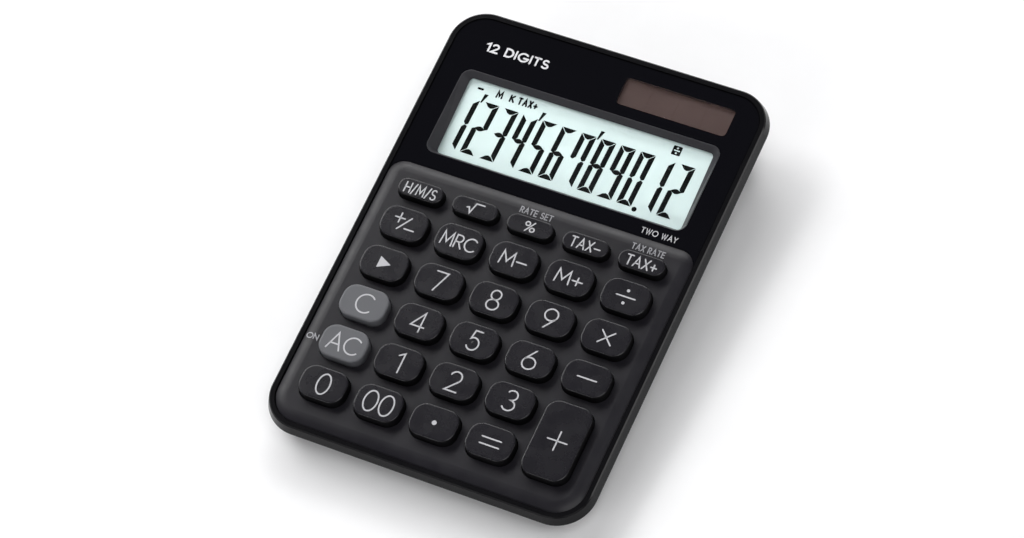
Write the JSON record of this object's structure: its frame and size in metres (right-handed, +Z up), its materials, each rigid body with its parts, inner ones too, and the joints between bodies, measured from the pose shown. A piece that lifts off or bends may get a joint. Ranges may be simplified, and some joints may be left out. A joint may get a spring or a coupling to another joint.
{
  "type": "pocket calculator",
  "caption": "Electronic calculator with a wedge body, raised keypad of sprung keys, recessed tilted LCD, solar window and a button-cell compartment underneath.",
  "frame": {"origin": "middle of the body's plan box, on the surface the feet stand on", "axes": "+Z up, +Y from the front edge towards the display end, +X to the right of a user at the keys"},
  "size_m": [0.1066, 0.1504, 0.0221],
  "materials": {
    "case_plastic": "fine satin moulded texture",
    "panel_matte": "fine matt grain",
    "panel_gloss": "polished",
    "bezel_plastic": "satin",
    "clear_window": "polished clear acrylic",
    "lcd_face": "pale green-grey polariser",
    "reflector": "matt silver film",
    "holder_plastic": "plain moulded",
    "ribbon_film": "amber film",
    "solar_tint": "tinted, polished",
    "solar_wafer": "dark brown cell",
    "wire_red": "wire insulation",
    "wire_blue": "wire insulation",
    "board_green": "solder mask",
    "mat_rubber": "moulded silicone",
    "epoxy_black": "potting resin",
    "capacitor_sleeve": "shrink sleeve",
    "screw_steel": "zinc plated",
    "screw_black": "black oxide",
    "cell_steel": "plated steel",
    "contact_metal": "nickel plated",
    "foot_rubber": "matt",
    "label_film": "blank film",
    "key_dark": "fine satin with printed legend",
    "key_grey": "fine satin with printed legend"
  },
  "bodies": {
    "case": {"bottom_case": "case_plastic", "top_case": "case_plastic", "keypad_panel": "panel_matte", "display_panel": "panel_gloss", "lcd_bezel": "bezel_plastic", "lcd_window": "clear_window", "lcd_glass": "lcd_face", "lcd_reflector": "reflector", "lcd_holder": "holder_plastic", "lcd_ribbon": "ribbon_film", "solar_window": "solar_tint", "solar_cell": "solar_wafer", "solar_leads": "wire_red", "circuit_board": "board_green", "rubber_keymat": "mat_rubber", "chip_cover": "epoxy_black", "board_capacitors": "capacitor_sleeve", "board_screws": "screw_steel", "battery_cell": "cell_steel", "battery_contact_plus": "contact_metal", "battery_contact_minus": "contact_metal", "battery_leads": "wire_blue", "battery_cover": "case_plastic", "battery_cover_screw": "screw_steel", "case_screws": "screw_black", "front_feet": "foot_rubber", "rear_feet": "foot_rubber", "rating_label": "label_film"},
    "key_hms": {"key_hms": "key_dark"},
    "key_sqrt": {"key_sqrt": "key_dark"},
    "key_percent": {"key_percent": "key_dark"},
    "key_tax_minus": {"key_tax_minus": "key_dark"},
    "key_tax_plus": {"key_tax_plus": "key_dark"},
    "key_sign": {"key_sign": "key_dark"},
    "key_mrc": {"key_mrc": "key_dark"},
    "key_m_minus": {"key_m_minus": "key_dark"},
    "key_m_plus": {"key_m_plus": "key_dark"},
    "key_divide": {"key_divide": "key_dark"},
    "key_shift_right": {"key_shift_right": "key_dark"},
    "key_7": {"key_7": "key_dark"},
    "key_8": {"key_8": "key_dark"},
    "key_9": {"key_9": "key_dark"},
    "key_multiply": {"key_multiply": "key_dark"},
    "key_c": {"key_c": "key_grey"},
    "key_4": {"key_4": "key_dark"},
    "key_5": {"key_5": "key_dark"},
    "key_6": {"key_6": "key_dark"},
    "key_minus": {"key_minus": "key_dark"},
    "key_ac": {"key_ac": "key_grey"},
    "key_1": {"key_1": "key_dark"},
    "key_2": {"key_2": "key_dark"},
    "key_3": {"key_3": "key_dark"},
    "key_0": {"key_0": "key_dark"},
    "key_00": {"key_00": "key_dark"},
    "key_point": {"key_point": "key_dark"},
    "key_equals": {"key_equals": "key_dark"},
    "key_plus": {"key_plus": "key_dark"}
  },
  "joints": [
    {"name": "key_hms_press", "type": "slide", "parent": "case", "child": "key_hms", "axis": [0, 0.0698, -0.9976], "range_m": [0, 0.0015], "stiffness_N_per_m": 400, "springref_m": -0.0002, "deforming": ["rubber_keymat"]},
    {"name": "key_sqrt_press", "type": "slide", "parent": "case", "child": "key_sqrt", "axis": [0, 0.0698, -0.9976], "range_m": [0, 0.0015], "stiffness_N_per_m": 400, "springref_m": -0.0002, "deforming": ["rubber_keymat"]},
    {"name": "key_percent_press", "type": "slide", "parent": "case", "child": "key_percent", "axis": [0, 0.0698, -0.9976], "range_m": [0, 0.0015], "stiffness_N_per_m": 400, "springref_m": -0.0002, "deforming": ["rubber_keymat"]},
    {"name": "key_tax_minus_press", "type": "slide", "parent": "case", "child": "key_tax_minus", "axis": [0, 0.0698, -0.9976], "range_m": [0, 0.0015], "stiffness_N_per_m": 400, "springref_m": -0.0002, "deforming": ["rubber_keymat"]},
    {"name": "key_tax_plus_press", "type": "slide", "parent": "case", "child": "key_tax_plus", "axis": [0, 0.0698, -0.9976], "range_m": [0, 0.0015], "stiffness_N_per_m": 400, "springref_m": -0.0002, "deforming": ["rubber_keymat"]},
    {"name": "key_sign_press", "type": "slide", "parent": "case", "child": "key_sign", "axis": [0, 0.0698, -0.9976], "range_m": [0, 0.0015], "stiffness_N_per_m": 400, "springref_m": -0.0002, "deforming": ["rubber_keymat"]},
    {"name": "key_mrc_press", "type": "slide", "parent": "case", "child": "key_mrc", "axis": [0, 0.0698, -0.9976], "range_m": [0, 0.0015], "stiffness_N_per_m": 400, "springref_m": -0.0002, "deforming": ["rubber_keymat"]},
    {"name": "key_m_minus_press", "type": "slide", "parent": "case", "child": "key_m_minus", "axis": [0, 0.0698, -0.9976], "range_m": [0, 0.0015], "stiffness_N_per_m": 400, "springref_m": -0.0002, "deforming": ["rubber_keymat"]},
    {"name": "key_m_plus_press", "type": "slide", "parent": "case", "child": "key_m_plus", "axis": [0, 0.0698, -0.9976], "range_m": [0, 0.0015], "stiffness_N_per_m": 400, "springref_m": -0.0002, "deforming": ["rubber_keymat"]},
    {"name": "key_divide_press", "type": "slide", "parent": "case", "child": "key_divide", "axis": [0, 0.0698, -0.9976], "range_m": [0, 0.0015], "stiffness_N_per_m": 400, "springref_m": -0.0002, "deforming": ["rubber_keymat"]},
    {"name": "key_shift_right_press", "type": "slide", "parent": "case", "child": "key_shift_right", "axis": [0, 0.0698, -0.9976], "range_m": [0, 0.0015], "stiffness_N_per_m": 400, "springref_m": -0.0002, "deforming": ["rubber_keymat"]},
    {"name": "key_7_press", "type": "slide", "parent": "case", "child": "key_7", "axis": [0, 0.0698, -0.9976], "range_m": [0, 0.0015], "stiffness_N_per_m": 400, "springref_m": -0.0002, "deforming": ["rubber_keymat"]},
    {"name": "key_8_press", "type": "slide", "parent": "case", "child": "key_8", "axis": [0, 0.0698, -0.9976], "range_m": [0, 0.0015], "stiffness_N_per_m": 400, "springref_m": -0.0002, "deforming": ["rubber_keymat"]},
    {"name": "key_9_press", "type": "slide", "parent": "case", "child": "key_9", "axis": [0, 0.0698, -0.9976], "range_m": [0, 0.0015], "stiffness_N_per_m": 400, "springref_m": -0.0002, "deforming": ["rubber_keymat"]},
    {"name": "key_multiply_press", "type": "slide", "parent": "case", "child": "key_multiply", "axis": [0, 0.0698, -0.9976], "range_m": [0, 0.0015], "stiffness_N_per_m": 400, "springref_m": -0.0002, "deforming": ["rubber_keymat"]},
    {"name": "key_c_press", "type": "slide", "parent": "case", "child": "key_c", "axis": [0, 0.0698, -0.9976], "range_m": [0, 0.0015], "stiffness_N_per_m": 400, "springref_m": -0.0002, "deforming": ["rubber_keymat"]},
    {"name": "key_4_press", "type": "slide", "parent": "case", "child": "key_4", "axis": [0, 0.0698, -0.9976], "range_m": [0, 0.0015], "stiffness_N_per_m": 400, "springref_m": -0.0002, "deforming": ["rubber_keymat"]},
    {"name": "key_5_press", "type": "slide", "parent": "case", "child": "key_5", "axis": [0, 0.0698, -0.9976], "range_m": [0, 0.0015], "stiffness_N_per_m": 400, "springref_m": -0.0002, "deforming": ["rubber_keymat"]},
    {"name": "key_6_press", "type": "slide", "parent": "case", "child": "key_6", "axis": [0, 0.0698, -0.9976], "range_m": [0, 0.0015], "stiffness_N_per_m": 400, "springref_m": -0.0002, "deforming": ["rubber_keymat"]},
    {"name": "key_minus_press", "type": "slide", "parent": "case", "child": "key_minus", "axis": [0, 0.0698, -0.9976], "range_m": [0, 0.0015], "stiffness_N_per_m": 400, "springref_m": -0.0002, "deforming": ["rubber_keymat"]},
    {"name": "key_ac_press", "type": "slide", "parent": "case", "child": "key_ac", "axis": [0, 0.0698, -0.9976], "range_m": [0, 0.0015], "stiffness_N_per_m": 400, "springref_m": -0.0002, "deforming": ["rubber_keymat"]},
    {"name": "key_1_press", "type": "slide", "parent": "case", "child": "key_1", "axis": [0, 0.0698, -0.9976], "range_m": [0, 0.0015], "stiffness_N_per_m": 400, "springref_m": -0.0002, "deforming": ["rubber_keymat"]},
    {"name": "key_2_press", "type": "slide", "parent": "case", "child": "key_2", "axis": [0, 0.0698, -0.9976], "range_m": [0, 0.0015], "stiffness_N_per_m": 400, "springref_m": -0.0002, "deforming": ["rubber_keymat"]},
    {"name": "key_3_press", "type": "slide", "parent": "case", "child": "key_3", "axis": [0, 0.0698, -0.9976], "range_m": [0, 0.0015], "stiffness_N_per_m": 400, "springref_m": -0.0002, "deforming": ["rubber_keymat"]},
    {"name": "key_0_press", "type": "slide", "parent": "case", "child": "key_0", "axis": [0, 0.0698, -0.9976], "range_m": [0, 0.0015], "stiffness_N_per_m": 400, "springref_m": -0.0002, "deforming": ["rubber_keymat"]},
    {"name": "key_00_press", "type": "slide", "parent": "case", "child": "key_00", "axis": [0, 0.0698, -0.9976], "range_m": [0, 0.0015], "stiffness_N_per_m": 400, "springref_m": -0.0002, "deforming": ["rubber_keymat"]},
    {"name": "key_point_press", "type": "slide", "parent": "case", "child": "key_point", "axis": [0, 0.0698, -0.9976], "range_m": [0, 0.0015], "stiffness_N_per_m": 400, "springref_m": -0.0002, "deforming": ["rubber_keymat"]},
    {"name": "key_equals_press", "type": "slide", "parent": "case", "child": "key_equals", "axis": [0, 0.0698, -0.9976], "range_m": [0, 0.0015], "stiffness_N_per_m": 400, "springref_m": -0.0002, "deforming": ["rubber_keymat"]},
    {"name": "key_plus_press", "type": "slide", "parent": "case", "child": "key_plus", "axis": [0, 0.0698, -0.9976], "range_m": [0, 0.0015], "stiffness_N_per_m": 400, "springref_m": -0.0002, "deforming": ["rubber_keymat"]}
  ]
}
